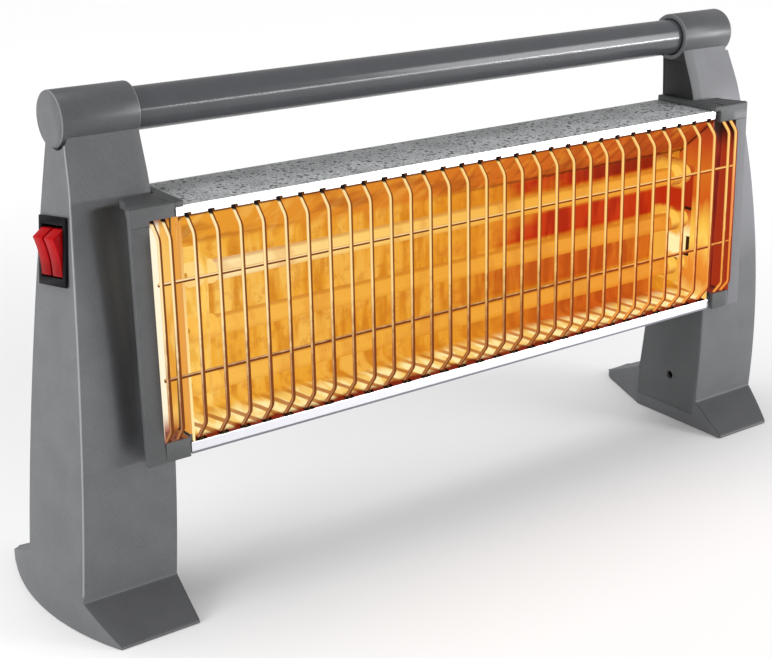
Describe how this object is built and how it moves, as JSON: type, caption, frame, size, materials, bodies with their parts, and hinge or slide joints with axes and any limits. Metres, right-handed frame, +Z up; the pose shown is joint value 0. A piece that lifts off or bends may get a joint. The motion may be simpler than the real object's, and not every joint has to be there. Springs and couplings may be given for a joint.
{
  "type": "halogen heater",
  "caption": "Low free-standing heater: two curved legs, a long case with lit tubes before a trough reflector behind a wire guard, a carrying tube above and a double rocker switch.",
  "frame": {"origin": "on the floor, under the middle of the heater's bounding box", "axes": "+X along the heater to its right end seen from the front, -Y towards the front, +Z up"},
  "size_m": [0.471, 0.121, 0.25],
  "materials": {
    "leg_plastic": "fine grained grey moulding",
    "frame_plastic": "fine grained grey moulding",
    "handle_paint": "satin grey paint",
    "hammered_paint": "hammered grey paint with dark specks",
    "plain_steel": "plain",
    "polished_sheet": "polished",
    "guard_chrome": "bright plated wire",
    "quartz_glass": "clear",
    "coil_wire": "glowing",
    "ceramic": "unglazed",
    "brass": "plain",
    "black_plastic": "satin",
    "red_plastic": "smooth",
    "lead_sleeve": "heat-proof sleeve",
    "black_rubber": "matt"
  },
  "bodies": {
    "heater_frame": {"left_leg_shell": "leg_plastic", "right_leg_shell": "leg_plastic", "left_leg_cover": "leg_plastic", "right_leg_cover": "leg_plastic", "left_end_frame": "frame_plastic", "right_end_frame": "frame_plastic", "handle_tube": "handle_paint", "case_shell": "hammered_paint", "left_case_end": "plain_steel", "right_case_end": "plain_steel", "left_tube_bracket": "plain_steel", "right_tube_bracket": "plain_steel", "left_cover_screw": "plain_steel", "right_cover_screw": "plain_steel", "left_leg_screw_upper": "plain_steel", "left_leg_screw_lower": "plain_steel", "right_leg_screw_upper": "plain_steel", "right_leg_screw_lower": "plain_steel", "reflector": "polished_sheet", "left_reflector_end": "polished_sheet", "right_reflector_end": "polished_sheet", "guard": "guard_chrome", "tube_top": "quartz_glass", "tube_middle": "quartz_glass", "tube_bottom": "quartz_glass", "coil_top": "coil_wire", "coil_middle": "coil_wire", "coil_bottom": "coil_wire", "left_cap_top": "ceramic", "left_cap_middle": "ceramic", "left_cap_bottom": "ceramic", "right_cap_top": "ceramic", "right_cap_middle": "ceramic", "right_cap_bottom": "ceramic", "terminal_block": "ceramic", "left_pin_top": "brass", "left_pin_middle": "brass", "left_pin_bottom": "brass", "right_pin_top": "brass", "right_pin_middle": "brass", "right_pin_bottom": "brass", "left_bus_upper": "brass", "left_bus_lower": "brass", "right_bus": "brass", "switch_tabs": "brass", "switch_body": "black_plastic", "lead_upper": "lead_sleeve", "lead_lower": "lead_sleeve", "lead_return": "lead_sleeve", "lead_supply": "lead_sleeve", "cord_grommet": "black_rubber"},
    "front_rocker": {"rocker_front": "red_plastic"},
    "rear_rocker": {"rocker_rear": "red_plastic"}
  },
  "joints": [
    {"name": "front_rocker_tilt", "type": "hinge", "parent": "heater_frame", "child": "front_rocker", "pos_m": [-0.21739, -0.01539, 0.18047], "axis": [-0.1368, 0.9832, -0.1205], "range_deg": [0, 20]},
    {"name": "rear_rocker_tilt", "type": "hinge", "parent": "heater_frame", "child": "rear_rocker", "pos_m": [-0.21739, -0.01539, 0.18047], "axis": [-0.1368, 0.9832, -0.1205], "range_deg": [0, 20]}
  ]
}
